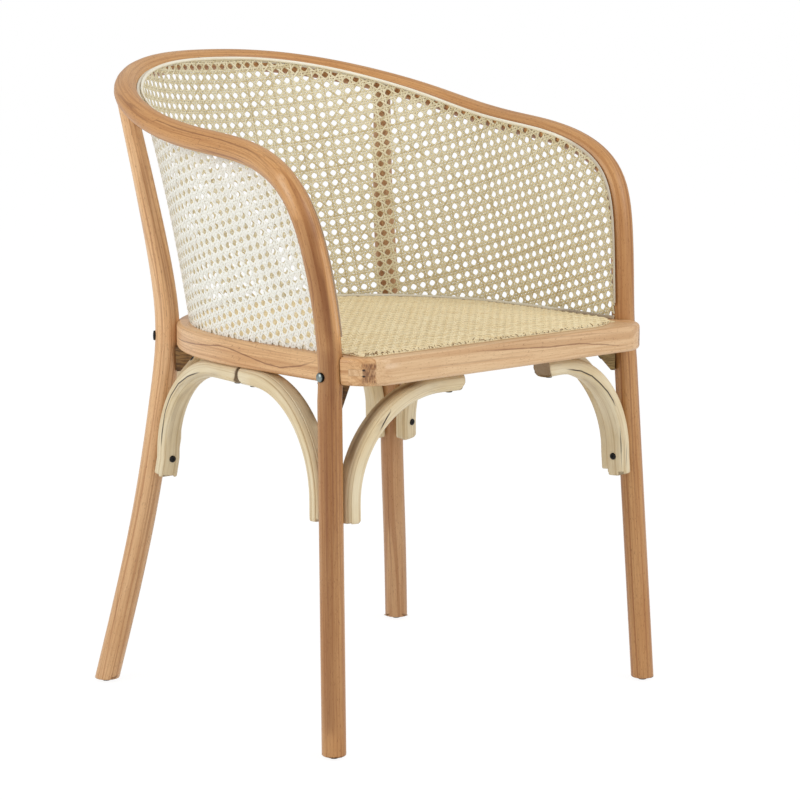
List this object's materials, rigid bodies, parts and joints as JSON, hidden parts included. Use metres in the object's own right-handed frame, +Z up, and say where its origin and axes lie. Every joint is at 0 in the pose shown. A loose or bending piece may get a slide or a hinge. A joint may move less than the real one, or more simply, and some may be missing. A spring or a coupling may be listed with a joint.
{
  "type": "bentwood armchair",
  "caption": "Rigid bentwood armchair with a bent rod for its back, arms and front legs, a cane back, a cane seat and rattan corner braces.",
  "frame": {"origin": "on the floor under the middle of the chair's box", "axes": "+Z up, the seat opens towards -Y, +X is to the right seen from the front"},
  "size_m": [0.5336, 0.581, 0.7659],
  "materials": {
    "beech": "satin lacquer, warm brown beech",
    "rattan": "pale split rattan",
    "cane": "pale woven cane",
    "board": "plain plywood",
    "block": "dark stained wood",
    "zinc_plate": "zinc plated",
    "black_steel": "black oxide",
    "glide": "grey"
  },
  "bodies": {
    "root": {"back_brace_left": "rattan", "back_brace_left_leg_screw": "black_steel", "back_brace_left_rail_screw": "black_steel", "back_brace_right": "rattan", "back_brace_right_leg_screw": "black_steel", "back_brace_right_rail_screw": "black_steel", "back_cane": "cane", "bent_rod": "beech", "block_bolt_front_left": "black_steel", "block_bolt_front_right": "black_steel", "block_bolt_rear_left": "black_steel", "block_bolt_rear_right": "black_steel", "cane_trim_foot": "rattan", "cane_trim_top": "rattan", "corner_block_front_left": "block", "corner_block_front_right": "block", "corner_block_rear_left": "block", "corner_block_rear_right": "block", "front_brace_left": "rattan", "front_brace_left_leg_screw": "black_steel", "front_brace_left_rail_screw": "black_steel", "front_brace_right": "rattan", "front_brace_right_leg_screw": "black_steel", "front_brace_right_rail_screw": "black_steel", "front_leg_bolt_left": "zinc_plate", "front_leg_bolt_right": "zinc_plate", "glide_front_left": "glide", "glide_front_right": "glide", "glide_rear_left": "glide", "glide_rear_right": "glide", "rear_leg_bolt_left": "black_steel", "rear_leg_bolt_right": "black_steel", "rear_leg_left": "beech", "rear_leg_right": "beech", "seat_board": "board", "seat_bow": "beech", "seat_cane": "cane", "seat_front_rail": "beech", "side_brace_front_left": "rattan", "side_brace_front_left_leg_screw": "black_steel", "side_brace_front_left_rail_screw": "black_steel", "side_brace_front_right": "rattan", "side_brace_front_right_leg_screw": "black_steel", "side_brace_front_right_rail_screw": "black_steel", "side_brace_rear_left": "rattan", "side_brace_rear_left_leg_screw": "black_steel", "side_brace_rear_left_rail_screw": "black_steel", "side_brace_rear_right": "rattan", "side_brace_rear_right_leg_screw": "black_steel", "side_brace_rear_right_rail_screw": "black_steel"}
  },
  "joints": []
}
